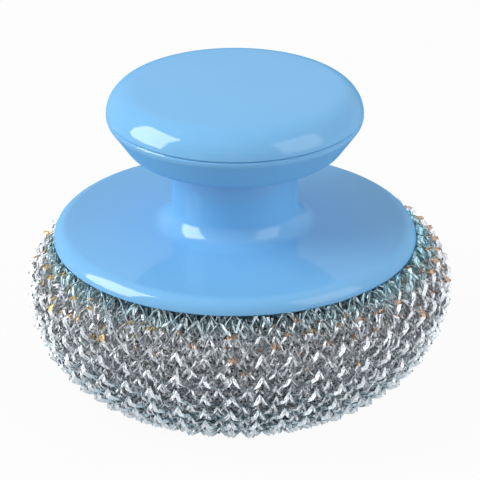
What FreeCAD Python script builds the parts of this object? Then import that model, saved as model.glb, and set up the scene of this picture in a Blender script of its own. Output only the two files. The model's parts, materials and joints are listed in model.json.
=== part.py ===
import FreeCAD, Part
import math
import os

# Pot scrubber: a knitted steel bun clamped under a moulded handle with a round knob.
# Millimetres, +Z up. The origin is the centre of the flat base that the bun rests on.

# Outer form of the knitted bun
mesh_bulge = 7.2
mesh_overhang = 2.0
mesh_widest_height = 26.4
mesh_wall = 4.0
mesh_clamped_thickness = 3.2

# Outer form of the handle, stacked upwards from the flange
flange_radius = 42.8
flange_underside_height = 37.1
flange_rim_thickness = 3.7
flange_edge_wall = 0.5
flange_edge_break = 0.3
flange_dome_rise = 0.3
finger_gap = 18.8
neck_radius = 14.8
neck_root_fillet = 4.8
neck_top_fillet = 2.0
collar_lip = 0.5
collar_thickness = 0.8
knob_radius = 29.9
knob_cup_depth = 8.6
knob_side_round = 3.0
knob_side_tilt = 35.0
knob_edge_round = 3.5
cap_shoulder_round = 6.4
cap_crown_rise = 0.85
seam_edge_break = 0.3

# Walls and hidden features of the mouldings
cup_wall = 2.2
cup_rim_wall = 3.4
cap_wall = 2.0
cap_skirt_wall = 1.6
cap_skirt_depth = 2.8
cap_ledge_thickness = 2.0
neck_wall = 2.4
flange_wall = 2.4
flange_rim_width = 3.6
rib_count = 8
rib_thickness = 1.6
socket_depth = 4.9
socket_wall = 2.2
deck_thickness = 3.0
retainer_radius = 26.0
retainer_thickness = 3.0
retainer_edge_round = 1.0
boss_radius = 8.0
boss_half_width = 6.8

# Hardware: an M5 pan head screw with its washer and nut, and the two draw wires
screw_radius = 2.5
screw_head_radius = 4.75
screw_head_edge = 1.8
screw_head_crown = 1.9
screw_tip_proud = 0.5
screw_tip_chamfer = 0.6
recess_length = 5.2
recess_width = 1.1
recess_depth = 1.8
washer_radius = 6.0
washer_thickness = 1.0
nut_across_flats = 8.0
nut_thickness = 4.0
draw_wire_radius = 0.45
twist_length = 3.4
twist_radius = 0.4
base_ring_radius = 4.6
base_dimple_radius = 8.0
base_dimple_depth = 2.2
base_dimple_round = 1.2
base_eye_radius = 3.2
core_eye_radius = 4.0

# Clearances
soft_gap = 0.3
cap_fit_gap = 0.08
spigot_fit_gap = 0.05
seam_gap = 0.1
skirt_end_gap = 0.4
socket_gap = 0.15
screw_hole_gap = 0.25
thread_gap = 0.05
nut_pocket_gap = 0.1
wire_gap = 0.1

# Heights and radii that follow from the sizes above
flange_edge_round = flange_rim_thickness - flange_edge_wall
rim_centre_height = flange_underside_height + flange_edge_wall
dome_top_height = flange_underside_height + flange_rim_thickness + flange_dome_rise
knob_underside_height = dome_top_height + finger_gap
collar_radius = neck_radius + neck_top_fillet + collar_lip
collar_underside_height = knob_underside_height - collar_thickness
cup_floor_height = knob_underside_height + cup_wall
seam_height = knob_underside_height + knob_cup_depth
cap_underside_height = seam_height + seam_gap
cap_seat_radius = knob_radius - cup_rim_wall
cap_skirt_radius = cap_seat_radius - cap_fit_gap
deck_underside_height = flange_underside_height + socket_depth
deck_top_height = deck_underside_height + deck_thickness
socket_radius = boss_radius + socket_gap
mesh_radius = flange_radius + mesh_bulge
mesh_top_radius = flange_radius + mesh_overhang
mesh_top_height = flange_underside_height - soft_gap
mesh_inner_top_height = mesh_top_height - mesh_clamped_thickness
retainer_top_height = mesh_inner_top_height - soft_gap
retainer_underside_height = retainer_top_height - retainer_thickness
boss_top_height = deck_underside_height - soft_gap
top_ring_radius = boss_radius + wire_gap + draw_wire_radius
mesh_eye_radius = top_ring_radius + draw_wire_radius + soft_gap
nut_pocket_depth = nut_thickness + nut_pocket_gap
nut_underside_height = retainer_underside_height + nut_pocket_gap
screw_seat_height = deck_top_height + washer_thickness
screw_hole_radius = screw_radius + screw_hole_gap

# How far a cutting solid runs past the face that it opens
past = 1.0


def at(radius, height):
    """A point of a profile in the XZ plane."""
    return FreeCAD.Vector(radius, 0, height)


def on_circle(centre, radius, angle):
    """The point of a profile circle at an angle in degrees, counted from outwards to upwards."""
    turn = math.radians(angle)
    return at(centre.x + radius * math.cos(turn), centre.z + radius * math.sin(turn))


def round_to(centre, radius, first, last):
    """An arc step of a profile about a centre: its middle point and its end point."""
    return on_circle(centre, radius, (first + last) / 2), on_circle(centre, radius, last)


def turned(start, *steps):
    """Turn a closed profile about Z: each step is a point, or the middle and end of an arc."""
    edges = []
    here = start
    for step in steps + (start,):
        if isinstance(step, tuple):
            edges.append(Part.Arc(here, step[0], step[1]).toShape())
            here = step[1]
        else:
            edges.append(Part.makeLine(here, step))
            here = step
    return Part.Face(Part.Wire(edges)).revolve(at(0, 0), FreeCAD.Vector(0, 0, 1), 360)


def rod(radius, bottom, top):
    """A round bar on the Z axis between two heights."""
    return Part.makeCylinder(radius, top - bottom, at(0, bottom))


def bar(length, width, bottom, top):
    """A rectangular bar centred on the Z axis, long in X."""
    corner = FreeCAD.Vector(-length / 2, -width / 2, bottom)
    return Part.makeBox(length, width, top - bottom, corner)


def hexagon(across_flats, bottom, top):
    """A hexagonal bar on the Z axis between two heights."""
    corner_radius = across_flats / math.sqrt(3)
    corners = []
    for step in range(7):
        turn = math.radians(60 * step)
        corner = at(corner_radius * math.cos(turn), bottom)
        corner.y = corner_radius * math.sin(turn)
        corners.append(corner)
    return Part.Face(Part.makePolygon(corners)).extrude(FreeCAD.Vector(0, 0, top - bottom))


def crown_radius(edge_centre_radius, rise, edge_round):
    """Radius of a crown on the axis that runs smoothly into a rounded edge.

    The rise is counted from the height of the edge round's centre to the top of the crown.
    """
    reach = edge_centre_radius ** 2 + rise ** 2 - edge_round ** 2
    return reach / (2 * (rise - edge_round))


def dome(inset):
    """The cap's domed form, drawn in by an inset, standing on the cap's lower face."""
    shoulder_round = cap_shoulder_round - inset
    shoulder = at(knob_radius - cap_shoulder_round, cap_underside_height)
    rise = cap_shoulder_round + cap_crown_rise
    crown = crown_radius(shoulder.x, rise, cap_shoulder_round)
    centre = at(0, cap_underside_height + rise - crown)
    meet = math.degrees(math.atan2(shoulder.z - centre.z, shoulder.x))
    broken = math.degrees(math.asin(seam_edge_break / shoulder_round))
    return turned(
        at(0, cap_underside_height),
        at(shoulder.x + shoulder_round - seam_edge_break, cap_underside_height),
        on_circle(shoulder, shoulder_round, broken),
        round_to(shoulder, shoulder_round, broken, meet),
        round_to(centre, crown - inset, meet, 90),
    )


def knob_cap():
    """Domed cap of the knob, with a ledge that meets the cup and a skirt that pushes into it."""
    skirt_inner_radius = cap_skirt_radius - cap_skirt_wall
    ledge_top = cap_underside_height + cap_ledge_thickness
    skirt_end = seam_height - cap_skirt_depth
    hollow = rod(skirt_inner_radius, skirt_end - past, ledge_top + past)
    ledge = dome(0).common(rod(knob_radius, cap_underside_height, ledge_top))
    skirt = rod(cap_skirt_radius, skirt_end, ledge_top)
    rim = ledge.fuse(skirt).cut(hollow)
    return dome(0).cut(dome(cap_wall)).fuse(rim).removeSplitter()


def cup_form():
    """The outside of the knob's cup, with the hole that the neck's spigot pushes into."""
    hole_radius = neck_radius + spigot_fit_gap
    side = at(knob_radius - knob_side_round, seam_height)
    edge_height = knob_underside_height + knob_edge_round
    tilt = math.radians(knob_side_tilt)
    slant = (side.z - edge_height) * math.sin(tilt) - (knob_side_round - knob_edge_round)
    edge = at(side.x - slant / math.cos(tilt), edge_height)
    broken = -math.degrees(math.asin(seam_edge_break / knob_side_round))
    return turned(
        at(hole_radius, knob_underside_height),
        at(edge.x, knob_underside_height),
        round_to(edge, knob_edge_round, -90, -knob_side_tilt),
        on_circle(side, knob_side_round, -knob_side_tilt),
        round_to(side, knob_side_round, -knob_side_tilt, broken),
        at(knob_radius - seam_edge_break, seam_height),
        at(hole_radius, seam_height),
    )


def knob_cup():
    """Cup of the knob: a round seat for the cap's skirt over a tapered floor on the neck's collar."""
    tilt = math.radians(knob_side_tilt)
    ledge_height = seam_height - cap_skirt_depth - skirt_end_gap
    side_reach = knob_side_round - cup_wall
    wall_radius = knob_radius - knob_side_round + side_reach * math.cos(tilt)
    wall_height = seam_height - side_reach * math.sin(tilt)
    ledge_radius = wall_radius - (wall_height - ledge_height) * math.tan(tilt)
    floor_radius = wall_radius - (wall_height - cup_floor_height) * math.tan(tilt)
    hollow = turned(
        at(0, cup_floor_height),
        at(floor_radius, cup_floor_height),
        at(ledge_radius, ledge_height),
        at(cap_seat_radius, ledge_height),
        at(cap_seat_radius, seam_height + past),
        at(0, seam_height + past),
    )
    return cup_form().cut(hollow)


def handle_form():
    """The outside of the handle body as one turned solid: flange, neck, collar and spigot."""
    rim = at(flange_radius - flange_edge_round, rim_centre_height)
    dome_rise = dome_top_height - rim_centre_height
    dome_radius = crown_radius(rim.x, dome_rise, flange_edge_round)
    dome_centre = at(0, dome_top_height - dome_radius)
    rim_meet = math.degrees(math.atan2(rim.z - dome_centre.z, rim.x))
    root_reach = neck_radius + neck_root_fillet
    root_rise = math.sqrt((dome_radius + neck_root_fillet) ** 2 - root_reach ** 2)
    root = at(root_reach, dome_centre.z + root_rise)
    root_meet = math.degrees(math.atan2(root_rise, root_reach))
    neck_top = at(neck_radius + neck_top_fillet, collar_underside_height - neck_top_fillet)
    return turned(
        at(0, flange_underside_height),
        at(flange_radius - flange_edge_break, flange_underside_height),
        at(flange_radius, flange_underside_height + flange_edge_break),
        at(flange_radius, rim.z),
        round_to(rim, flange_edge_round, 0, rim_meet),
        round_to(dome_centre, dome_radius, rim_meet, root_meet),
        round_to(root, neck_root_fillet, root_meet + 180, 180),
        at(neck_radius, neck_top.z),
        round_to(neck_top, neck_top_fillet, 180, 90),
        at(collar_radius, collar_underside_height),
        at(collar_radius, knob_underside_height),
        at(neck_radius, knob_underside_height),
        at(neck_radius, cup_floor_height),
        at(0, cup_floor_height),
    )


def flange_pocket():
    """The hollow under the flange's dome, between the socket and the rim, left solid at the ribs."""
    dome_rise = dome_top_height - rim_centre_height
    dome_radius = crown_radius(flange_radius - flange_edge_round, dome_rise, flange_edge_round)
    dome_centre = at(0, dome_top_height - dome_radius)
    roof_radius = dome_radius - flange_wall
    inner = socket_radius + socket_wall
    outer = flange_radius - flange_rim_width
    inner_angle = math.degrees(math.acos(inner / roof_radius))
    outer_angle = math.degrees(math.acos(outer / roof_radius))
    below = flange_underside_height - past
    pocket = turned(
        at(inner, below),
        at(outer, below),
        on_circle(dome_centre, roof_radius, outer_angle),
        round_to(dome_centre, roof_radius, outer_angle, inner_angle),
    )
    for step in range(rib_count // 2):
        rib = bar(2 * flange_radius, rib_thickness, below - past, dome_top_height)
        rib.rotate(at(0, 0), FreeCAD.Vector(0, 0, 1), 360 / rib_count * step)
        pocket = pocket.cut(rib)
    return pocket


def handle_body():
    """Flange and neck as one moulding, hollow from above and below, with a deck between."""
    well = rod(neck_radius - neck_wall, deck_top_height, cup_floor_height + past)
    below = flange_underside_height - past
    socket = rod(socket_radius, below, deck_underside_height)
    flats = bar(2 * flange_radius, 2 * (boss_half_width + socket_gap), below, deck_underside_height)
    screw_hole = rod(screw_hole_radius, below, deck_top_height + past)
    body = handle_form()
    for hollow in (well, flange_pocket(), socket.common(flats), screw_hole):
        body = body.cut(hollow)
    return body


def mesh_retainer():
    """Clamp disc inside the bun, with a flat-sided boss in the handle's socket and a nut pocket."""
    edge = retainer_edge_round
    disc = turned(
        at(0, retainer_underside_height),
        at(retainer_radius - edge, retainer_underside_height),
        round_to(at(retainer_radius - edge, retainer_underside_height + edge), edge, -90, 0),
        at(retainer_radius, retainer_top_height - edge),
        round_to(at(retainer_radius - edge, retainer_top_height - edge), edge, 0, 90),
        at(0, retainer_top_height),
    )
    boss = rod(boss_radius, retainer_underside_height, boss_top_height)
    flats = bar(2 * retainer_radius, 2 * boss_half_width, retainer_underside_height, boss_top_height)
    pocket_width = nut_across_flats + 2 * nut_pocket_gap
    pocket_top = retainer_underside_height + nut_pocket_depth
    pocket = hexagon(pocket_width, retainer_underside_height - past, pocket_top)
    screw_hole = rod(screw_hole_radius, retainer_underside_height, boss_top_height + past)
    return disc.fuse(boss.common(flats)).cut(pocket).cut(screw_hole).removeSplitter()


def clamp_screw():
    """Pan head screw that draws the retainer up to the flange, with a cross recess in its head."""
    shank_radius = screw_radius - thread_gap
    tip = nut_underside_height - screw_tip_proud
    edge_height = screw_seat_height + screw_head_edge
    head_top = edge_height + screw_head_crown
    crown = (screw_head_radius ** 2 + screw_head_crown ** 2) / (2 * screw_head_crown)
    centre = at(0, head_top - crown)
    edge_angle = math.degrees(math.acos(screw_head_radius / crown))
    screw = turned(
        at(0, tip),
        at(shank_radius - screw_tip_chamfer, tip),
        at(shank_radius, tip + screw_tip_chamfer),
        at(shank_radius, screw_seat_height),
        at(screw_head_radius, screw_seat_height),
        at(screw_head_radius, edge_height),
        round_to(centre, crown, edge_angle, 90),
    )
    slot = bar(recess_length, recess_width, head_top - recess_depth, head_top + past)
    cross = slot.copy()
    cross.rotate(at(0, 0), FreeCAD.Vector(0, 0, 1), 90)
    return screw.cut(slot.fuse(cross))


def screw_washer():
    """Flat washer between the screw's head and the handle's deck."""
    washer = rod(washer_radius, deck_top_height, screw_seat_height)
    return washer.cut(rod(screw_hole_radius, deck_top_height - past, screw_seat_height + past))


def captive_nut():
    """Hexagon nut held in the retainer's pocket."""
    nut_top = nut_underside_height + nut_thickness
    nut = hexagon(nut_across_flats, nut_underside_height, nut_top)
    return nut.cut(rod(screw_radius, nut_underside_height - past, nut_top + past))


def bun(inset, top_height):
    """The bun's crowned form, drawn in by an inset from its sides and base, up to a flat top.

    A lower arc rises from the flat base to the widest height, and an upper arc starts upright
    there and leans in to the top's edge.
    """
    lower = at(mesh_radius - mesh_widest_height, mesh_widest_height)
    lower_round = mesh_widest_height - inset
    lean = mesh_radius - mesh_top_radius
    rise = top_height - mesh_widest_height
    upper_round = (lean ** 2 + rise ** 2) / (2 * lean)
    upper = at(mesh_radius - inset - upper_round, mesh_widest_height)
    top_angle = math.degrees(math.atan2(rise, upper_round - lean))
    return turned(
        at(0, inset),
        at(lower.x, inset),
        round_to(lower, lower_round, -90, 0),
        round_to(upper, upper_round, 0, top_angle),
        at(0, top_height),
    )


def mesh_cover():
    """Knitted cover as a hollow shell, with an eye round the boss and a drawn-in dimple in its base."""
    hollow = bun(mesh_wall, mesh_inner_top_height)
    top_eye = rod(mesh_eye_radius, mesh_inner_top_height - past, mesh_top_height + past)
    base_eye = rod(base_eye_radius, -past, mesh_wall + past)
    mouth = base_dimple_radius + base_dimple_round
    dimple = turned(
        at(0, -past),
        at(mouth, -past),
        at(mouth, 0),
        round_to(at(mouth, base_dimple_round), base_dimple_round, -90, -180),
        at(base_dimple_radius, base_dimple_depth),
        at(0, base_dimple_depth),
    )
    cover = bun(0, mesh_top_height)
    for cut in (hollow, top_eye, base_eye, dimple):
        cover = cover.cut(cut)
    return cover


def mesh_core():
    """Folded filling of the bun inside the cover, with room for the retainer and the screw's tip."""
    core_top = mesh_inner_top_height - soft_gap
    seat = rod(retainer_radius + soft_gap, retainer_underside_height - soft_gap, core_top + past)
    eye = rod(core_eye_radius, 0, core_top + past)
    return bun(mesh_wall + soft_gap, core_top).cut(seat).cut(eye)


def top_draw_wire():
    """Wire ring that gathers the knit round the retainer's boss."""
    height = (mesh_top_height + mesh_inner_top_height) / 2
    return Part.makeTorus(top_ring_radius, draw_wire_radius, at(0, height))


def base_draw_wire():
    """Wire ring that closes the base, with its twisted ends folded in across the eye."""
    height = base_dimple_depth - draw_wire_radius - wire_gap
    ring = Part.makeTorus(base_ring_radius, draw_wire_radius, at(0, height))
    twist_start = at(base_ring_radius, height)
    twist = Part.makeCylinder(twist_radius, twist_length, twist_start, FreeCAD.Vector(-1, 0, 0))
    return ring.fuse(twist)


pieces = (
    knob_cap,
    knob_cup,
    handle_body,
    clamp_screw,
    screw_washer,
    mesh_retainer,
    captive_nut,
    mesh_cover,
    mesh_core,
    top_draw_wire,
    base_draw_wire,
)

os.makedirs("parts", exist_ok=True)
for piece in pieces:
    shape = piece()
    shape.exportStep(f"parts/{piece.__name__}.step")
    box = shape.optimalBoundingBox()
    print(
        f"{piece.__name__}: {len(shape.Solids)} solid, valid {shape.isValid()}, {shape.Volume:.0f} mm3,"
        f" z {box.ZMin:.2f} to {box.ZMax:.2f}, reach {box.XMax:.2f}"
    )
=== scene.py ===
"""Looks of a pot scrubber: a bun of knitted flat steel wire under a gloss plastic handle."""

import json
import logging
import math
from dataclasses import dataclass
from enum import Enum

import bpy
import numpy as np
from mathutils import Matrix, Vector


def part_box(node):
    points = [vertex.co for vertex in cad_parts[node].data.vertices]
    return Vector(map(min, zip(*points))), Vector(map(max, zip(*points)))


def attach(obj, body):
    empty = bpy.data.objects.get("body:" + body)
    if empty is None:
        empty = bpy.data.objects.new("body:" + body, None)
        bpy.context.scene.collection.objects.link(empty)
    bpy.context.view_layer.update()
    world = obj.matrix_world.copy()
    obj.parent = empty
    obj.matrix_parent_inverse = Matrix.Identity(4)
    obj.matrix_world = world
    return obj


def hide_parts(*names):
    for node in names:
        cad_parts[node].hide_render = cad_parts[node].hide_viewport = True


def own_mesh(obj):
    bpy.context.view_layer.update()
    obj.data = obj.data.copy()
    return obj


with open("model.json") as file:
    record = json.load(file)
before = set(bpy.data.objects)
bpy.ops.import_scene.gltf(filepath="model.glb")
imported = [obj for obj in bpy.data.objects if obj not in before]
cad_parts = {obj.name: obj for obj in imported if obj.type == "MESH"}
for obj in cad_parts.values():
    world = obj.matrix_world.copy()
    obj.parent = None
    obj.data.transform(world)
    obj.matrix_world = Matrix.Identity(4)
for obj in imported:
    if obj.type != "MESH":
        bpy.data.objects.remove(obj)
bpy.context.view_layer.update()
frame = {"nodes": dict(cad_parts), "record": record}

Colour = tuple[float, float, float]
Scales = tuple[float, float, float]
Span = tuple[float, float]
Socket = bpy.types.NodeSocket
Paint = Colour | Socket

log = logging.getLogger("pot_scrubber")


class Slot(Enum):
    """Material slots of the record."""

    HANDLE = "handle_plastic"
    RETAINER = "retainer_plastic"
    KNIT = "knitted_steel"
    HARDWARE = "hardware_steel"
    DRAW_WIRE = "draw_wire_steel"


class Body(Enum):
    """The moving body of the frame that the new pieces ride on; CAD nodes keep their own."""

    SCOURER = "scourer"


class Shader:
    """A material's node tree, with short calls for the nodes that the finishes use."""

    def __init__(self, name: str) -> None:
        """Start an empty node tree that ends in one Principled shader.

        Args:
            name: name of the material.
        """
        self.material = bpy.data.materials.new(name)
        self.material.use_nodes = True
        self.tree = self.material.node_tree
        self.tree.nodes.clear()
        output = self.tree.nodes.new("ShaderNodeOutputMaterial")
        self.surface = self.tree.nodes.new("ShaderNodeBsdfPrincipled")
        self.tree.links.new(self.surface.outputs[0], output.inputs["Surface"])

    def constant(self, **values: float | tuple[float, ...]) -> None:
        """Set constants on the shader's own sockets; underscores stand for spaces in names."""
        for name, value in values.items():
            self.surface.inputs[name.replace("_", " ")].default_value = value

    def drive(self, socket: str, source: Socket) -> None:
        """Feed one of the shader's sockets from a node."""
        self.tree.links.new(source, self.surface.inputs[socket])

    def object_space(self) -> Socket:
        """Object coordinates of the piece."""
        return self.tree.nodes.new("ShaderNodeTexCoord").outputs["Object"]

    def uv(self) -> Socket:
        """The piece's own UV map."""
        return self.tree.nodes.new("ShaderNodeUVMap").outputs["UV"]

    def attribute(self, name: str) -> Socket:
        """A number that the mesh carries under a name.

        Args:
            name: the name.

        Returns:
            The number.
        """
        node = self.tree.nodes.new("ShaderNodeAttribute")
        node.attribute_name = name
        return node.outputs["Fac"]

    def turned_away(self) -> Socket:
        """How far the surface turns away from the eye: 0 square on, 1 at a grazing angle."""
        return self.tree.nodes.new("ShaderNodeLayerWeight").outputs["Facing"]

    def stretch(self, source: Socket, scale: Scales) -> Socket:
        """Coordinates scaled by three factors.

        Args:
            source: the coordinates.
            scale: the factors.

        Returns:
            The scaled coordinates.
        """
        node = self.tree.nodes.new("ShaderNodeMapping")
        node.inputs["Scale"].default_value = scale
        self.tree.links.new(source, node.inputs["Vector"])
        return node.outputs["Vector"]

    def noise(self, source: Socket, scale: float = 1.0, detail: float = 3.0) -> Socket:
        """Cloudy noise over some coordinates.

        Args:
            source: the coordinates.
            scale: clouds per unit of the coordinates.
            detail: how many layers of finer clouds it has.

        Returns:
            The noise, from 0 to 1.
        """
        node = self.tree.nodes.new("ShaderNodeTexNoise")
        node.inputs["Scale"].default_value = scale
        node.inputs["Detail"].default_value = detail
        self.tree.links.new(source, node.inputs["Vector"])
        return node.outputs["Fac"]

    def spread(self, source: Socket, low: float, high: float,
               start: float = 0.0, end: float = 1.0) -> Socket:
        """Map a value from start..end to low..high, held at the ends.

        Args:
            source: the value.
            low: result at the start.
            high: result at the end.
            start: value that gives low.
            end: value that gives high.

        Returns:
            The mapped value.
        """
        node = self.tree.nodes.new("ShaderNodeMapRange")
        numbers = {"From Min": start, "From Max": end, "To Min": low, "To Max": high}
        for name, number in numbers.items():
            node.inputs[name].default_value = number
        self.tree.links.new(source, node.inputs["Value"])
        return node.outputs["Result"]

    def blend(self, share: Socket, first: Paint, second: Paint) -> Socket:
        """Mix two colours by a share.

        Args:
            share: 0 gives the first colour and 1 the second.
            first: a colour, or the socket of one.
            second: a colour, or the socket of one.

        Returns:
            The mixed colour.
        """
        node = self.tree.nodes.new("ShaderNodeMix")
        node.data_type = "RGBA"
        self.tree.links.new(share, node.inputs["Factor"])
        for socket, colour in ((node.inputs["A"], first), (node.inputs["B"], second)):
            if isinstance(colour, Socket):
                self.tree.links.new(colour, socket)
            else:
                socket.default_value = (*colour, 1.0)
        return node.outputs["Result"]

    def bump(self, height: Socket, strength: float, distance: float) -> None:
        """Raise the shaded surface by a height.

        Args:
            height: the height, from 0 to 1.
            strength: how much of the bump shows.
            distance: what a height of 1 stands for, in metres.
        """
        node = self.tree.nodes.new("ShaderNodeBump")
        node.inputs["Strength"].default_value = strength
        node.inputs["Distance"].default_value = distance
        self.tree.links.new(height, node.inputs["Height"])
        self.drive("Normal", node.outputs["Normal"])


@dataclass(frozen=True)
class GlossPlastic:
    """Moulded gloss plastic: faint flow clouds in the colour and a slight waviness of the skin.

    Its gloss falls from full to nothing as the surface turns away from the eye.
    """

    name: str
    pale: Colour
    deep: Colour
    cloud_scale: float = 45.0
    cloud_span: Span = (0.3, 0.7)
    roughness: Span = (0.05, 0.09)
    refraction: float = 1.5
    gloss: float = 0.32
    gloss_span: Span = (0.25, 0.75)
    wave_scale: float = 260.0
    wave_strength: float = 0.02
    wave_height: float = 0.0004

    def material(self) -> bpy.types.Material:
        """Build the material.

        Returns:
            The finished material.
        """
        shader = Shader(self.name)
        place = shader.object_space()
        clouds = shader.noise(place, self.cloud_scale, detail=4.0)
        share = shader.spread(clouds, 0, 1, *self.cloud_span)
        gloss = shader.spread(shader.turned_away(), self.gloss, 0, *self.gloss_span)
        waves = shader.noise(place, self.wave_scale, detail=2.0)
        shader.drive("Base Color", shader.blend(share, self.pale, self.deep))
        shader.drive("Roughness", shader.spread(clouds, *self.roughness))
        shader.drive("Specular IOR Level", gloss)
        shader.constant(IOR=self.refraction)
        shader.bump(waves, self.wave_strength, self.wave_height)
        return shader.material


@dataclass(frozen=True)
class MattePlastic:
    """Plain inner moulding with a fine spark-eroded grain."""

    name: str
    pale: Colour
    deep: Colour
    cloud_scale: float = 60.0
    roughness: Span = (0.42, 0.6)
    grain_scale: float = 2600.0
    grain_strength: float = 0.12
    grain_height: float = 0.0001

    def material(self) -> bpy.types.Material:
        """Build the material.

        Returns:
            The finished material.
        """
        shader = Shader(self.name)
        place = shader.object_space()
        grain = shader.noise(place, self.grain_scale)
        clouds = shader.noise(place, self.cloud_scale)
        shader.drive("Base Color", shader.blend(clouds, self.pale, self.deep))
        shader.drive("Roughness", shader.spread(grain, *self.roughness))
        shader.bump(grain, self.grain_strength, self.grain_height)
        return shader.material


@dataclass(frozen=True)
class TurnedSteel:
    """Bright hardware steel with fine turning marks round its axis."""

    name: str
    pale: Colour
    deep: Colour
    roughness: Span = (0.18, 0.36)
    marks: Scales = (300.0, 300.0, 4200.0)
    mark_strength: float = 0.08
    mark_height: float = 0.0001

    def material(self) -> bpy.types.Material:
        """Build the material.

        Returns:
            The finished material.
        """
        shader = Shader(self.name)
        marks = shader.noise(shader.stretch(shader.object_space(), self.marks), detail=4.0)
        shader.drive("Base Color", shader.blend(marks, self.pale, self.deep))
        shader.drive("Roughness", shader.spread(marks, *self.roughness))
        shader.constant(Metallic=1.0)
        shader.bump(marks, self.mark_strength, self.mark_height)
        return shader.material


@dataclass(frozen=True)
class FlatWireSteel:
    """Rolled flat wire: streaks drawn along the ribbon, small kinks that glint, painted shade and
    tints.

    The mesh carries them as shares per face: painted_shade, darker away from the heads' flanks and
    on the inner layers, with random speckle; painted_low_shade, darker towards the base;
    teal_and_painted_reflection, a teal tint with a painted reflection of the blue flange; and
    copper and gold marks.
    """

    name: str
    pale: Colour
    deep: Colour
    painted_low_shade: Colour
    teal_and_painted_reflection: Colour
    copper: Colour
    gold: Colour
    grazing: Colour
    roughness: Span
    streaks: Scales = (0.8, 14.0, 1.0)
    streak_span: Span = (0.35, 0.75)
    streak_share: float = 0.35
    kinks: Scales = (13.0, 4.0, 1.0)
    kink_strength: float = 1.0
    kink_height: float = 0.0005

    def material(self) -> bpy.types.Material:
        """Build the material.

        Returns:
            The finished material.
        """
        shader = Shader(self.name)
        streaks = shader.noise(shader.stretch(shader.uv(), self.streaks), detail=2.0)
        kinks = shader.noise(shader.stretch(shader.uv(), self.kinks), detail=1.0)
        drawn = shader.spread(streaks, 0, self.streak_share, *self.streak_span)
        # painted shade: darker away from the heads' flanks and on the inner layers, with random
        # speckle
        steel = shader.blend(shader.attribute("painted_shade"), self.pale, self.deep)
        steel = shader.blend(drawn, steel, self.deep)
        # painted shade: the wire darkens towards the bun's base
        steel = shader.blend(shader.attribute("painted_low_shade"), steel, self.painted_low_shade)
        # teal tint near the flange, partly a painted reflection of the blue flange
        tinted = shader.blend(shader.attribute("teal_and_painted_reflection"), steel, self.teal_and_painted_reflection)
        marks = shader.blend(shader.attribute("gold"), self.copper, self.gold)
        shader.drive("Base Color", shader.blend(shader.attribute("copper"), tinted, marks))
        shader.drive("Roughness", shader.spread(streaks, *self.roughness))
        shader.constant(Metallic=1.0, Specular_Tint=(*self.grazing, 1.0))
        shader.bump(kinks, self.kink_strength, self.kink_height)
        return shader.material


@dataclass(frozen=True)
class DeepKnit:
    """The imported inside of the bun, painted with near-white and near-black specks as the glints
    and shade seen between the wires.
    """

    name: str
    pale: Colour
    deep: Colour
    metal: float = 0.6
    roughness: Span = (0.6, 0.35)
    speck_scale: float = 1900.0
    speck_span: Span = (0.40, 0.60)
    speck_strength: float = 0.6
    speck_height: float = 0.001

    def material(self) -> bpy.types.Material:
        """Build the material.

        Returns:
            The finished material.
        """
        shader = Shader(self.name)
        # near-black and near-white specks: painted shade and painted glints of the knit's depths
        specks = shader.noise(shader.object_space(), self.speck_scale, detail=2.0)
        share = shader.spread(specks, 0, 1, *self.speck_span)
        shader.drive("Base Color", shader.blend(share, self.deep, self.pale))
        shader.drive("Roughness", shader.spread(specks, *self.roughness))
        shader.constant(Metallic=self.metal)
        shader.bump(specks, self.speck_strength, self.speck_height)
        return shader.material


def add_mesh(name: str, points: np.ndarray, faces: list[list[int]]) -> bpy.types.Object:
    """Put points and faces into a new object at the origin.

    Args:
        name: name of the object and its mesh.
        points: vertices, one row of three numbers each, in metres.
        faces: vertex numbers of each face, counted anticlockwise from outside.

    Returns:
        The new object, linked to the scene.
    """
    mesh = bpy.data.meshes.new(name)
    mesh.from_pydata(points.tolist(), [], faces)
    mesh.update()
    made = bpy.data.objects.new(name, mesh)
    bpy.context.scene.collection.objects.link(made)
    return made


def unit(vectors: np.ndarray) -> np.ndarray:
    """Vectors divided by their length."""
    return vectors / np.linalg.norm(vectors, axis=-1, keepdims=True)


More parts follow.
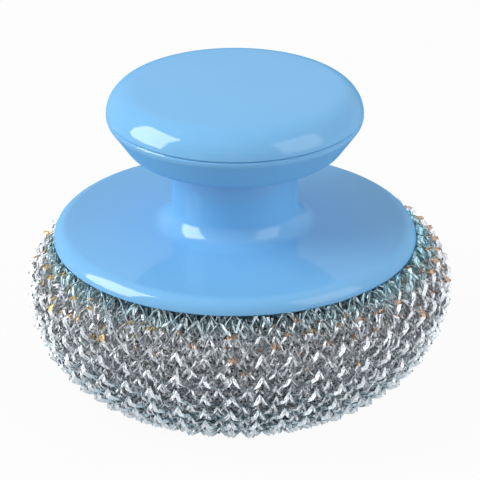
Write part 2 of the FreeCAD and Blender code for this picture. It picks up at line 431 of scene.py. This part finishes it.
@dataclass(frozen=True)
class SideLine:
    """The bun's side line from under the flange's rim, over its widest ring, to its base's middle.

    An upper arc leans in under the flange, a lower arc runs down to the flat base, and a small
    arc turns up into the dimple where the draw wire closes the knit.

    Attributes:
        radius: radius of the widest ring.
        top: height of the shoulder, where the flange's rim lies.
        shoulder_radius: radius of the shoulder.
        widest_height: height of the widest ring, and radius of the lower arc.
        tuck_angle: angle of the upper arc where the line starts, under the flange.
        dimple_radius: radius at which the dimple starts.
        dimple_round: radius of the small arc, and depth of the dimple.
        eye_radius: radius at which the line ends.
        steps: points along each large arc and along the base.
        curl_steps: points along the small arc.
        dimple_steps: points along the dimple's flat.
    """

    radius: float
    top: float
    shoulder_radius: float
    widest_height: float = 0.0264
    tuck_angle: float = math.radians(80)
    dimple_radius: float = 0.0092
    dimple_round: float = 0.0016
    eye_radius: float = 0.0045
    steps: int = 400
    curl_steps: int = 40
    dimple_steps: int = 60

    @property
    def upper_round(self) -> float:
        """Radius of the upper arc, which passes the shoulder and is upright at the widest ring."""
        lean, rise = self.radius - self.shoulder_radius, self.top - self.widest_height
        return (lean ** 2 + rise ** 2) / (2 * lean)

    def rim(self, inset: float) -> float:
        """Length of line from its upper end to the shoulder, where the flange's rim lies."""
        shoulder_angle = math.asin((self.top - self.widest_height) / self.upper_round)
        return (self.upper_round - inset) * (self.tuck_angle - shoulder_angle)

    def points(self, inset: float) -> tuple[np.ndarray, np.ndarray]:
        """Radii and heights along the line.

        Each arc is its centre plus its radius times the cosine and sine of an angle.

        Args:
            inset: how far the line is drawn in from the bun's outside.

        Returns:
            Radii and heights, evenly dense along each arc and straight.
        """
        lower_centre = self.radius - self.widest_height
        dimple_edge = self.dimple_radius - self.dimple_round
        upper = np.linspace(self.tuck_angle, 0, self.steps)
        lower = np.linspace(0, -math.pi / 2, self.steps)[1:]
        base = np.linspace(lower_centre, self.dimple_radius, self.steps)[1:]
        curl = np.linspace(-math.pi / 2, -math.pi, self.curl_steps)[1:]
        dimple = np.linspace(dimple_edge, self.eye_radius, self.dimple_steps)[1:]
        radii = np.concatenate((
            self.radius - self.upper_round + (self.upper_round - inset) * np.cos(upper),
            lower_centre + (self.widest_height - inset) * np.cos(lower),
            base,
            self.dimple_radius + self.dimple_round * np.cos(curl),
            dimple,
        ))
        heights = np.concatenate((
            self.widest_height + (self.upper_round - inset) * np.sin(upper),
            self.widest_height + (self.widest_height - inset) * np.sin(lower),
            np.full_like(base, inset),
            inset + self.dimple_round * (1 + np.sin(curl)),
            np.full_like(dimple, inset + self.dimple_round),
        ))
        return radii, heights

    def sample(self, inset: float, run: np.ndarray) -> tuple[np.ndarray, ...]:
        """Place and outward direction at lengths along the line.

        The direction is the line's slope turned by a right angle.

        Args:
            inset: how far the line is drawn in from the bun's outside.
            run: lengths from the line's upper end.

        Returns:
            Radius, height, and the outward direction's radial and upward parts.
        """
        radii, heights = self.points(inset)
        pieces = np.hypot(np.diff(radii), np.diff(heights))
        length = np.concatenate(([0.0], np.cumsum(pieces)))
        out_radial = -np.gradient(heights, length)
        out_up = np.gradient(radii, length)
        values = (radii, heights, out_radial, out_up)
        return tuple(np.interp(run, length, value) for value in values)

    def length(self, inset: float) -> float:
        """Whole length of the line."""
        radii, heights = self.points(inset)
        return float(np.sum(np.hypot(np.diff(radii), np.diff(heights))))


@dataclass(frozen=True)
class Stitch:
    """One knitted loop of flat wire, in metres and radians.

    The wire runs sideways one stitch per turn of its parameter. Its height is a rounded zigzag,
    with the sideways steps drawn together at head and foot. Its reach outwards is a sum of three
    cosines: level at the head's top, out on the head's flanks and deep at the foot. The flat
    lies half way between the bun's skin and its own edge at the head, and on edge at the foot.

    Attributes:
        rise: how far head and foot lie above and below their course.
        sharpness: how sharp the zigzag's corners are, up to 1.
        lean: how far the sideways steps are drawn together, in stitches.
        flare: size of the reach outwards.
        waves: shares of the three cosines.
        head_edge: angle of the flat at the head.
        foot_edge: angle of the flat at the foot.
        flank_middle: middle of a flank, counted from the head's top.
        flank_half: half the length of a flank.
        flank_power: how squarely a flank ends.
        thickness: thickness of the wire.
    """

    rise: float = 0.0021
    sharpness: float = 0.97
    lean: float = -0.045
    flare: float = 0.0008
    waves: tuple[float, float, float] = (0.833, -0.5, -0.333)
    head_edge: float = math.radians(47)
    foot_edge: float = math.radians(85)
    flank_middle: float = math.radians(48)
    flank_half: float = math.radians(34)
    flank_power: int = 4
    thickness: float = 0.00014

    def zigzag(self, turn: np.ndarray) -> np.ndarray:
        """A zigzag from 1 at the head to -1 at the foot, its corners rounded a little."""
        return np.arcsin(self.sharpness * np.cos(turn)) / math.asin(self.sharpness)

    def reach(self, turn: np.ndarray) -> np.ndarray:
        """Reach outwards: nought at the head's top, most on its flanks, least at the foot.

        Args:
            turn: place in the stitch, one turn to a stitch.

        Returns:
            The reach.
        """
        once, twice, thrice = self.waves
        waves = once * np.cos(turn) + twice * np.cos(2 * turn) + thrice * np.cos(3 * turn)
        return self.flare * waves

    def edge(self, turn: np.ndarray) -> np.ndarray:
        """Angle of the flat, from lying on the bun's skin to standing on its edge.

        Args:
            turn: place in the stitch, one turn to a stitch.

        Returns:
            The angle.
        """
        middle = (self.head_edge + self.foot_edge) / 2
        swing = (self.head_edge - self.foot_edge) / 2
        return middle + swing * np.cos(turn)

    def flank(self, turn: np.ndarray) -> np.ndarray:
        """Share from 0 to 1 that picks out the two flanks of the head."""
        away = np.abs((turn + math.pi) % (2 * math.pi) - math.pi)
        return np.exp(-((away - self.flank_middle) / self.flank_half) ** self.flank_power)


@dataclass(frozen=True)
class KnitLayer:
    """One of the bun's knitted layers, in metres.

    Attributes:
        name: name of its piece.
        inset: how far its skin lies inside the bun's outside.
        stitches: loops round the bun.
        samples: steps along each loop.
        spacing: distance from course to course.
        first: how far the first course lies below the flange's rim.
        width: width of the flat wire.
        disorder: how far the loops stray.
        ruffle: how far the flat twists at random, in radians.
        painted_shade: painted shade of the layer, how much darker than the outer layer it is for
            lying deeper.
        offset: how far its loops are turned round the bun, in stitches.
        seed: start of its random numbers.
    """

    name: str
    inset: float
    stitches: int
    samples: int
    spacing: float
    first: float
    width: float
    disorder: float
    ruffle: float
    painted_shade: float
    offset: float
    seed: int


@dataclass(frozen=True)
class WireTints:
    """Where the wires get painted shade and tints; lengths are metres below the flange's rim.

    Attributes:
        off_flank: painted shade away from the flanks of the heads, which leaves the flanks as the
            bright glints.
        speckle: how much the painted shade varies at random from step to step.
        teal_end: where the teal tint and its painted reflection of the blue flange end.
        teal_fade: length over which it fades.
        teal_front: share of it at front and back, where the two sides have all.
        teal_least: least share that chance leaves of it.
        teal_most: most that the wire takes of it.
        low_shade_start: where the painted shade towards the base starts.
        low_shade_fade: length over which it grows.
        low_shade_most: most that the wire takes of it.
        low_shade_flank: how much of it the flanks of the heads keep off.
        copper_ends: ends of the bands where heads of the outer layer have copper marks.
        copper_likely: how likely a mark is in each band.
        inner_band: start and end of the band of marks on the inner layers.
        inner_likely: how likely a mark is in that band.
        inner_stray: how likely it is elsewhere, as far down as the last of the ends.
        head: cosine that ends a marked head.
        copper_most: most that the wire takes of a mark.
        gold_side: cosine past which marks are golden, towards the left.
    """

    off_flank: float = 0.75
    speckle: float = 0.5
    teal_end: float = 0.0052
    teal_fade: float = 0.0030
    teal_front: float = 0.45
    teal_least: float = 0.5
    teal_most: float = 0.9
    low_shade_start: float = 0.010
    low_shade_fade: float = 0.020
    low_shade_most: float = 0.9
    low_shade_flank: float = 0.6
    copper_ends: tuple[float, ...] = (0.004, 0.009, 0.014)
    copper_likely: tuple[float, ...] = (0.3, 0.65, 0.5)
    inner_band: Span = (0.002, 0.011)
    inner_likely: float = 0.3
    inner_stray: float = 0.05
    head: float = 0.6
    copper_most: float = 0.85
    gold_side: float = -0.35

    def likely(self, layer: KnitLayer, below: np.ndarray) -> np.ndarray:
        """How likely a copper mark is on each course's heads.

        Args:
            layer: the layer.
            below: each course's distance below the flange's rim.

        Returns:
            One likelihood per course.
        """
        if layer.painted_shade > 0:
            start, end = self.inner_band
            stray = self.inner_stray * (below < self.copper_ends[-1])
            return np.where((below > start) & (below < end), self.inner_likely, stray)
        return np.select([below < end for end in self.copper_ends], self.copper_likely, 0.0)

    def faces(self, layer: KnitLayer, stitch: Stitch, below: np.ndarray,
              turn: np.ndarray) -> dict[str, np.ndarray]:
        """Tints of a layer's faces, by course and step.

        Painted shade is light on the heads' flanks, darker elsewhere and on the inner layers, and
        random from step to step. The teal tint, partly a painted reflection of the blue flange,
        fades down from the flange and is strongest at the two sides. Painted shade also grows
        towards the base. Copper marks some heads of the upper courses, golden on the left.

        Args:
            layer: the layer.
            stitch: its stitch.
            below: each course's distance below the flange's rim.
            turn: each step's place in its stitch.

        Returns:
            Arrays named painted_shade, painted_low_shade, teal_and_painted_reflection, copper and
            gold, with a value per course and step.
        """
        rng = np.random.default_rng(layer.seed + 1)
        size = (len(below), len(turn))
        rightward = np.cos(turn / layer.stitches)
        middle = turn + math.pi / layer.samples
        flank = stitch.flank(middle)

        speckle = self.speckle * (rng.random(size) - 0.5)
        # painted shade: inner layers and everything off the heads' flanks are darker, plus random
        # speckle
        painted_shade = np.clip(layer.painted_shade + self.off_flank * (1 - flank) + speckle, 0, 1)
        # teal tint with a painted reflection of the blue flange, fading down from it, most at the
        # sides
        sides = self.teal_front + (1 - self.teal_front) * rightward ** 2
        near = np.clip((self.teal_end - below) / self.teal_fade, 0, 1)[:, None] * sides
        teal_and_painted_reflection = near * (self.teal_least + (1 - self.teal_least) * rng.random(size))
        # painted shade growing towards the bun's base; the heads' flanks keep part of it off
        low = np.clip((below - self.low_shade_start) / self.low_shade_fade, 0, 1)[:, None]
        painted_low_shade = low * (self.low_shade_most - self.low_shade_flank * flank)

        chance = rng.random((len(below), layer.stitches))
        chosen = chance < self.likely(layer, below)[:, None]
        on_step = np.roll(np.repeat(chosen, layer.samples, axis=1), -layer.samples // 2, axis=1)
        copper = on_step & (np.cos(middle) > self.head)
        gold = np.broadcast_to(rightward < self.gold_side, size)
        return {"painted_shade": painted_shade, "painted_low_shade": painted_low_shade, "teal_and_painted_reflection": self.teal_most * teal_and_painted_reflection,
                "copper": self.copper_most * copper, "gold": gold}


@dataclass
class KnittedBun:
    """The scourer: layers of knitted flat steel wire over a packed core.

    Attributes:
        line: the bun's side line.
        flange_radius: radius of the flange above it.
        flange_underside: height of the flange's underside.
        rim_gap: room kept between wire and flange.
        floor_gap: room kept between wire and floor.
        rim_climb: how far wires may stand up outside the flange's rim.
        set_over: how far the soft bun sits to the right of the axis.
        squeeze_above: start of the squeeze under the flange, above its rim.
        squeeze_length: length of the squeeze.
        squeeze_share: share of a layer's inset that the squeeze takes up.
        stray_length: how far wires stray along and out, per unit of disorder.
        stray_turn: how far they stray sideways, in stitches per unit of disorder.
        stray_knots: random places per stitch that the straying runs through.
        ruffle_knots: random twists per stitch that the ruffle runs through.
        taper_radius: radius within which the wire narrows towards the dimple.
        taper_least: least share of the width that is left there.
        core_inset: how far the core lies inside the bun's outside.
        core_drop: how far it ends below the flange's underside.
        core_steps: steps down the core.
        core_sides: steps round the core.
        ripple_depth: depth of the core's ripple.
        ripple_round: ripples round the core.
        ripple_up: ripple's angle per metre of height.
        press_keep: share of the bun's height that is left when it is pressed; not used.
        stitch: the loop of every layer.
        tints: where the wires get painted shade and tints.
        wire: finish of the wires.
        core_painted_specks: finish of the core, painted with light and dark specks as glints and
            shade.
        layers: the knitted layers, from outside to inside.
    """

    line: SideLine
    flange_radius: float
    flange_underside: float
    rim_gap: float = 0.0004
    floor_gap: float = 0.00005
    rim_climb: float = 0.0005
    set_over: float = 0.0012
    squeeze_above: float = 0.0014
    squeeze_length: float = 0.0048
    squeeze_share: float = 0.7
    stray_length: float = 0.0004
    stray_turn: float = 0.06
    stray_knots: int = 2
    ruffle_knots: int = 5
    taper_radius: float = 0.02
    taper_least: float = 0.3
    core_inset: float = 0.0036
    core_drop: float = 0.0015
    core_steps: int = 96
    core_sides: int = 128
    ripple_depth: float = 0.0005
    ripple_round: int = 19
    ripple_up: float = 2400.0
    press_keep: float = 0.78
    stitch: Stitch = Stitch()
    tints: WireTints = WireTints()
    wire: FlatWireSteel = FlatWireSteel(
        name="flat_wire_steel",
        pale=(0.74, 0.76, 0.79),
        deep=(0.60, 0.63, 0.66),
        painted_low_shade=(0.46, 0.58, 0.64),
        teal_and_painted_reflection=(0.40, 0.72, 0.78),
        copper=(0.54, 0.30, 0.16),
        gold=(0.70, 0.48, 0.18),
        grazing=(0.12, 0.14, 0.15),
        roughness=(0.30, 0.46),
    )
    core_painted_specks: DeepKnit = DeepKnit("packed_wire_painted_specks", (0.95, 0.96, 0.97), (0.06, 0.065, 0.07))
    layers: tuple[KnitLayer, ...] = (
        KnitLayer("knit_outer", inset=0.0006, stitches=48, samples=12, spacing=0.0051,
                  first=0.0008, width=0.00092, disorder=0.25, ruffle=0.15, painted_shade=0.0,
                  offset=-0.25, seed=11),
        KnitLayer("knit_second", inset=0.0013, stitches=48, samples=12, spacing=0.0051,
                  first=-0.0018, width=0.00056, disorder=0.8, ruffle=0.6, painted_shade=0.3,
                  offset=0.25, seed=23),
        KnitLayer("knit_third", inset=0.0018, stitches=80, samples=9, spacing=0.0027,
                  first=-0.0022, width=0.00055, disorder=1.5, ruffle=1.2, painted_shade=0.4,
                  offset=0.2, seed=37),
        KnitLayer("knit_inner", inset=0.0026, stitches=80, samples=9, spacing=0.0027,
                  first=-0.0008, width=0.00055, disorder=1.8, ruffle=1.2, painted_shade=0.5,
                  offset=0.7, seed=53),
    )

    def wander(self, rng: np.random.Generator, courses: int, knots: int,
               count: int) -> np.ndarray:
        """Smooth random drift round each course: random knots joined by smooth steps.

        Args:
            rng: source of the random numbers.
            courses: number of courses.
            knots: random values round one course.
            count: points round one course.

        Returns:
            One row of values per course, about 1 in size.
        """
        values = rng.normal(size=(courses, knots))
        place = np.arange(count) * knots / count
        low = np.floor(place).astype(int)
        part = place - low
        part = part * part * (3 - 2 * part)
        return values[:, low % knots] * (1 - part) + values[:, (low + 1) % knots] * part

    def aside(self, height: np.ndarray) -> np.ndarray:
        """Shift to the right: nothing at the base, growing to all of it at the widest ring."""
        return self.set_over * np.clip(height / self.line.widest_height, 0, 1)

    def keep_clear(self, points: np.ndarray) -> np.ndarray:
        """Move points out of the flange, down or outwards whichever is nearer, and off the floor.

        Args:
            points: points in rows of three numbers.

        Returns:
            The moved points.
        """
        around = np.hypot(points[..., 0], points[..., 1])
        into_rim = self.flange_radius + self.rim_gap - around
        into_underside = points[..., 2] - (self.flange_underside - self.rim_gap)
        inside = (into_rim > 0) & (into_underside > 0)
        push_out = inside & (into_rim < into_underside)
        grow = np.where(push_out, (around + into_rim) / np.maximum(around, 1e-6), 1.0)
        sink = np.where(inside & ~push_out, into_underside, 0.0)
        moved = points * np.stack((grow, grow, np.ones_like(grow)), axis=-1)
        highest = self.flange_underside + self.rim_climb
        moved[..., 2] = np.clip(moved[..., 2] - sink, self.floor_gap, highest)
        return moved

    def ribbon(self, layer: KnitLayer) -> tuple[np.ndarray, np.ndarray, np.ndarray]:
        """Corner points of a layer's wires, worked out for all its courses at once.

        The path is the stitch's formula laid on the bun's side line and carried round the axis.
        A flat four-cornered section follows it, leaning from the skin towards its edge.

        Args:
            layer: the layer.

        Returns:
            Corner points by course, step and corner; each course's distance below the flange's
            rim; and each step's place in its stitch, one turn to a stitch.
        """
        rng = np.random.default_rng(layer.seed)
        stitch = self.stitch
        rim = self.line.rim(layer.inset)
        courses = int((self.line.length(layer.inset) - rim - layer.first) / layer.spacing)
        count = layer.stitches * layer.samples
        step = np.arange(count) / layer.samples
        turn = 2 * math.pi * step
        below = layer.first + layer.spacing * np.arange(courses)
        knots = self.stray_knots * layer.stitches
        stray = [layer.disorder * self.wander(rng, courses, knots, count) for _ in range(3)]
        knots = self.ruffle_knots * layer.stitches
        ruffle = layer.ruffle * self.wander(rng, courses, knots, count)

        along = below[:, None] - stitch.rise * stitch.zigzag(turn) + self.stray_length * stray[0]
        squeeze = 1 - np.clip((along + self.squeeze_above) / self.squeeze_length, 0, 1)
        squeezed = self.squeeze_share * layer.inset * squeeze
        out = stitch.reach(turn) + self.stray_length * stray[1] + squeezed
        drawn = step + stitch.lean * np.sin(2 * turn)
        sideways = drawn + self.stray_turn * stray[2] + layer.offset
        angle = 2 * math.pi / layer.stitches * sideways
        radius, height, out_radial, out_up = self.line.sample(layer.inset, rim + along)
        around = radius + out * out_radial
        cos, sin = np.cos(angle), np.sin(angle)
        right, up = around * cos + self.aside(height), height + out * out_up
        path = np.stack((right, around * sin, up), axis=-1)

        outward = np.stack((out_radial * cos, out_radial * sin, out_up), axis=-1)
        tangent = unit(np.roll(path, -1, axis=1) - np.roll(path, 1, axis=1))
        above = unit(np.cross(outward, tangent))
        edge = (stitch.edge(turn) + ruffle)[..., None]
        across = unit(np.cross(tangent, outward * np.cos(edge) + above * np.sin(edge)))
        normal = np.cross(across, tangent)
        taper = np.clip(radius / self.taper_radius, self.taper_least, 1.0)[..., None]
        half_width = layer.width / 2 * taper
        half_depth = stitch.thickness / 2
        corners = [path + a * half_width * across + b * half_depth * normal
                   for a, b in ((1, 1), (-1, 1), (-1, -1), (1, -1))]
        return self.keep_clear(np.stack(corners, axis=2)), below, turn

    def build_layer(self, layer: KnitLayer) -> bpy.types.Object:
        """Build and dress one knitted layer: its wires' corners joined into closed tubes.

        Args:
            layer: the layer.

        Returns:
            The finished object.
        """
        points, below, turn = self.ribbon(layer)
        courses, count, sides = points.shape[:3]
        course, step, corner = np.meshgrid(
            np.arange(courses), np.arange(count), np.arange(sides), indexing="ij")

        def number(steps: np.ndarray, corners: np.ndarray) -> np.ndarray:
            """Vertex numbers of corners at steps, closing round."""
            return (course * count + steps % count) * sides + corners % sides

        quads = np.stack((number(step, corner + 1), number(step, corner),
                          number(step + 1, corner), number(step + 1, corner + 1)), axis=-1)
        made = add_mesh(layer.name, points.reshape(-1, 3), quads.reshape(-1, 4).tolist())
        along = np.stack((step, step, step + 1, step + 1), axis=-1) / layer.samples
        over = np.stack((corner + 1, corner, corner, corner + 1), axis=-1) / sides
        uv = made.data.uv_layers.new(name="ribbon")
        uv.data.foreach_set("uv", np.stack((along, over), axis=-1).astype(np.float32).ravel())
        for name, values in self.tints.faces(layer, self.stitch, below, turn).items():
            tint = made.data.attributes.new(name, "FLOAT", "FACE")
            tint.data.foreach_set("value", np.repeat(values.ravel(), sides).astype(np.float32))
        made.data.materials.append(self.wire.material())
        return made

    def build_core(self) -> bpy.types.Object:
        """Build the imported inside: the side line turned round the axis and closed at both ends.

        Its radius ripples by the product of a sine round the axis and a sine up it.

        Returns:
            The finished object.
        """
        radii, heights = self.line.points(self.core_inset)
        pick = np.linspace(0, len(radii) - 1, self.core_steps).astype(int)
        radii, heights = radii[pick], heights[pick]
        heights = np.minimum(heights, self.flange_underside - self.core_drop)
        turn = np.linspace(0, 2 * math.pi, self.core_sides, endpoint=False)
        waves = np.sin(self.ripple_round * turn)[None, :]
        ripple = self.ripple_depth * waves * np.sin(self.ripple_up * heights)[:, None]
        around = radii[:, None] + ripple
        right = around * np.cos(turn) + self.aside(heights)[:, None]
        up = np.repeat(heights[:, None], self.core_sides, axis=1)
        points = np.stack((right, around * np.sin(turn), up), axis=-1)

        row, step = np.meshgrid(
            np.arange(self.core_steps - 1), np.arange(self.core_sides), indexing="ij")
        here = row * self.core_sides + step
        beside = row * self.core_sides + (step + 1) % self.core_sides
        quads = np.stack((here, here + self.core_sides, beside + self.core_sides, beside), axis=-1)
        top_end = list(range(self.core_sides))
        last_row = (self.core_steps - 1) * self.core_sides
        base_end = [last_row + place for place in reversed(top_end)]
        faces = quads.reshape(-1, 4).tolist() + [top_end, base_end]
        made = add_mesh("knit_core", points.reshape(-1, 3), faces)
        made.data.materials.append(self.core_painted_specks.material())
        return made

    def dress(self) -> list[bpy.types.Object]:
        """Build the core and every layer, and set them in the frame.

        Returns:
            The new pieces.
        """
        core = self.build_core()
        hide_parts("mesh_core")
        pieces = [self.build_layer(layer) for layer in self.layers]
        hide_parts("mesh_cover")
        for piece in pieces + [core]:
            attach(piece, Body.SCOURER.value)
            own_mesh(piece)
        return pieces + [core]


@dataclass
class HandleSet:
    """The handle's mouldings and hardware: CAD nodes that keep their shape and get finishes."""

    plastic: GlossPlastic = GlossPlastic(
        "blue_gloss_plastic", (0.176, 0.446, 0.750), (0.166, 0.432, 0.735))
    retainer: MattePlastic = MattePlastic(
        "natural_retainer_plastic", (0.78, 0.80, 0.82), (0.70, 0.72, 0.74))
    hardware: TurnedSteel = TurnedSteel(
        "turned_hardware_steel", (0.66, 0.67, 0.68), (0.46, 0.47, 0.48))
    draw_wire: TurnedSteel = TurnedSteel(
        "drawn_wire_steel", (0.70, 0.71, 0.72), (0.50, 0.51, 0.52))

    def dress(self) -> list[bpy.types.Object]:
        """Give each CAD node that shows its finish.

        Returns:
            The dressed nodes.
        """
        finishes = {Slot.HANDLE.value: self.plastic, Slot.RETAINER.value: self.retainer,
                    Slot.HARDWARE.value: self.hardware, Slot.DRAW_WIRE.value: self.draw_wire}
        made = {slot: finish.material() for slot, finish in finishes.items()}
        dressed = []
        for part in frame["record"]["subparts"]:
            if part["material_slot"] in made:
                node = frame["nodes"][part["node"]]
                node.data.materials.clear()
                node.data.materials.append(made[part["material_slot"]])
                dressed.append(node)
        return dressed


class Reach(Enum):
    """What a lamp does: light all without highlights, or make highlights on some pieces."""

    SOFT = "soft"
    GLOSS_HANDLE = "gloss_handle"
    GLOSS_KNIT = "gloss_knit"


@dataclass(frozen=True)
class Softbox:
    """A rectangular lamp that faces the object.

    Azimuth counts from the camera's side, positive to the right; angles are in degrees and
    lengths in metres. Radiance is how bright the lamp itself looks, where 1 is white.
    """

    name: str
    azimuth: float
    elevation: float
    distance: float
    width: float
    height: float
    radiance: float
    reach: Reach

    def build(self, aim: Vector,
              receivers: dict[Reach, list[bpy.types.Object]]) -> bpy.types.Object:
        """Place the lamp.

        Args:
            aim: the point that it faces.
            receivers: the pieces that each kind of highlight lamp reaches.

        Returns:
            The lamp's object.
        """
        lamp = bpy.data.lights.new(self.name, "AREA")
        lamp.shape = "RECTANGLE"
        lamp.size, lamp.size_y = self.width, self.height
        lamp.energy = self.radiance * math.pi * self.width * self.height
        made = bpy.data.objects.new(self.name, lamp)
        made.visible_glossy = self.reach is not Reach.SOFT
        if self.reach in receivers:
            made.visible_diffuse = False
            group = bpy.data.collections.new(self.name)
            for piece in receivers[self.reach]:
                group.objects.link(piece)
            made.light_linking.receiver_collection = group
        across, up = math.radians(self.azimuth), math.radians(self.elevation)
        towards = Vector((math.sin(across) * math.cos(up), -math.cos(across) * math.cos(up),
                          math.sin(up)))
        made.location = aim + towards * self.distance
        made.rotation_euler = towards.to_track_quat("Z", "Y").to_euler()
        bpy.context.scene.collection.objects.link(made)
        return made


@dataclass
class Studio:
    """White studio: floor, world, softboxes and the photograph's camera.

    Attributes:
        camera_place: where the camera stands.
        camera_aim: the point that it looks at.
        lens: its focal length, in millimetres.
        sensor: its sensor's width, in millimetres.
        light_aim: the point that the softboxes face.
        fill: light of the world on the object.
        floor_white: share of plain white in what the floor shows.
        floor_paint: the floor's own colour.
        floor_size: length of the floor's sides.
        softboxes: the lamps, each with its name, azimuth, elevation, distance, width, height,
            radiance and reach.
    """

    camera_place: Vector = Vector((0.0, -0.5396, 0.2909))
    camera_aim: Vector = Vector((0.00119, 0.00287, 0.0344))
    lens: float = 188.7
    sensor: float = 36.0
    light_aim: Vector = Vector((0.0, 0.0, 0.04))
    fill: float = 0.1
    floor_white: float = 0.95
    floor_paint: Colour = (0.6, 0.6, 0.6)
    floor_size: float = 6.0
    softboxes: tuple[Softbox, ...] = (
        Softbox("key_left", -82, 20, 0.95, 0.65, 1.00, 3.3, Reach.SOFT),
        Softbox("fill_right", 60, 18, 0.95, 0.70, 1.00, 2.7, Reach.SOFT),
        Softbox("left_soft", -70, 45, 1.2, 0.9, 0.9, 3.5, Reach.SOFT),
        Softbox("right_soft", 70, 45, 1.2, 0.9, 0.9, 1.2, Reach.SOFT),
        Softbox("back_soft", 180, 45, 1.2, 0.9, 0.9, 1.4, Reach.SOFT),
        Softbox("card_left", -82, 20, 0.9, 0.62, 0.95, 11.0, Reach.GLOSS_HANDLE),
        Softbox("card_right", 60, 18, 0.9, 0.66, 0.95, 2.7, Reach.GLOSS_HANDLE),
        Softbox("spark_left", -80, 30, 0.8, 1.40, 1.30, 1.8, Reach.GLOSS_KNIT),
        Softbox("spark_right", 62, 18, 0.8, 0.60, 0.75, 1.2, Reach.GLOSS_KNIT),
    )

    def seen(self, tree: bpy.types.NodeTree, share: float) -> Socket:
        """A share for camera, glossy and transmission rays, and 0 for all others.

        Args:
            tree: the node tree that it is made in.
            share: the share.

        Returns:
            The socket that carries it.
        """
        path = tree.nodes.new("ShaderNodeLightPath")
        total = path.outputs["Is Camera Ray"]
        for ray in ("Is Glossy Ray", "Is Transmission Ray"):
            most = tree.nodes.new("ShaderNodeMath")
            most.operation = "MAXIMUM"
            tree.links.new(total, most.inputs[0])
            tree.links.new(path.outputs[ray], most.inputs[1])
            total = most.outputs[0]
        part = tree.nodes.new("ShaderNodeMath")
        part.operation = "MULTIPLY"
        tree.links.new(total, part.inputs[0])
        part.inputs[1].default_value = share
        return part.outputs[0]

    def build_floor(self) -> bpy.types.Object:
        """A floor that keeps the object's shadow, and looks white to the camera and to gloss.

        Returns:
            The floor's object.
        """
        half = self.floor_size / 2
        points = np.array([(-half, -half, 0), (half, -half, 0), (half, half, 0), (-half, half, 0)])
        floor = add_mesh("studio_floor", points, [[0, 1, 2, 3]])
        material = bpy.data.materials.new("white_sweep")
        material.use_nodes = True
        tree = material.node_tree
        tree.nodes.clear()
        output = tree.nodes.new("ShaderNodeOutputMaterial")
        paint = tree.nodes.new("ShaderNodeBsdfDiffuse")
        paint.inputs["Color"].default_value = (*self.floor_paint, 1)
        white = tree.nodes.new("ShaderNodeEmission")
        white.inputs["Color"].default_value = (1, 1, 1, 1)
        mix = tree.nodes.new("ShaderNodeMixShader")
        tree.links.new(self.seen(tree, self.floor_white), mix.inputs[0])
        tree.links.new(paint.outputs[0], mix.inputs[1])
        tree.links.new(white.outputs[0], mix.inputs[2])
        tree.links.new(mix.outputs[0], output.inputs["Surface"])
        floor.data.materials.append(material)
        return floor

    def build_world(self) -> None:
        """White for camera, glossy and transmission rays; a plain fill for everything else."""
        world = bpy.data.worlds.new("studio_world")
        bpy.context.scene.world = world
        world.use_nodes = True
        tree = world.node_tree
        tree.nodes.clear()
        output = tree.nodes.new("ShaderNodeOutputWorld")
        mix = tree.nodes.new("ShaderNodeMixShader")
        tree.links.new(self.seen(tree, 1.0), mix.inputs[0])
        for place, strength in ((1, self.fill), (2, 1.0)):
            light = tree.nodes.new("ShaderNodeBackground")
            light.inputs["Color"].default_value = (1, 1, 1, 1)
            light.inputs["Strength"].default_value = strength
            tree.links.new(light.outputs[0], mix.inputs[place])
        tree.links.new(mix.outputs[0], output.inputs["Surface"])

    def build_camera(self) -> bpy.types.Object:
        """The photograph's camera: a long lens from in front and above.

        Returns:
            The camera's object.
        """
        lens = bpy.data.cameras.new("photo_camera")
        lens.lens = self.lens
        lens.sensor_width = self.sensor
        camera = bpy.data.objects.new("photo_camera", lens)
        camera.location = self.camera_place
        back = self.camera_place - self.camera_aim
        camera.rotation_euler = back.to_track_quat("Z", "Y").to_euler()
        bpy.context.scene.collection.objects.link(camera)
        bpy.context.scene.camera = camera
        return camera

    def build(self, knit: list[bpy.types.Object], handle: list[bpy.types.Object]) -> None:
        """Build the whole studio.

        Args:
            knit: the knitted pieces.
            handle: the dressed handle's pieces.
        """
        bpy.context.scene.view_settings.view_transform = "Standard"
        self.build_floor()
        self.build_world()
        receivers = {Reach.GLOSS_KNIT: knit, Reach.GLOSS_HANDLE: handle}
        for softbox in self.softboxes:
            softbox.build(self.light_aim, receivers)
        self.build_camera()


def main() -> None:
    """Build the scrubber's looks and its studio, and log the knitted pieces' face counts and the
    dressed nodes.
    """
    logging.basicConfig(level=logging.INFO, format="%(name)s: %(message)s")
    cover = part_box("mesh_cover")[1]
    flange_low, flange_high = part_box("handle_body")
    line = SideLine(radius=cover.x, top=cover.z, shoulder_radius=flange_high.x)
    bun = KnittedBun(line, flange_radius=flange_high.x, flange_underside=flange_low.z)
    knit = bun.dress()
    for piece in knit:
        log.info("knitted piece %s, %d faces", piece.name, len(piece.data.polygons))
    handle = HandleSet().dress()
    for node in handle:
        log.info("dressed %s", node.name)
    Studio().build(knit, handle)


if __name__ == "__main__":
    main()
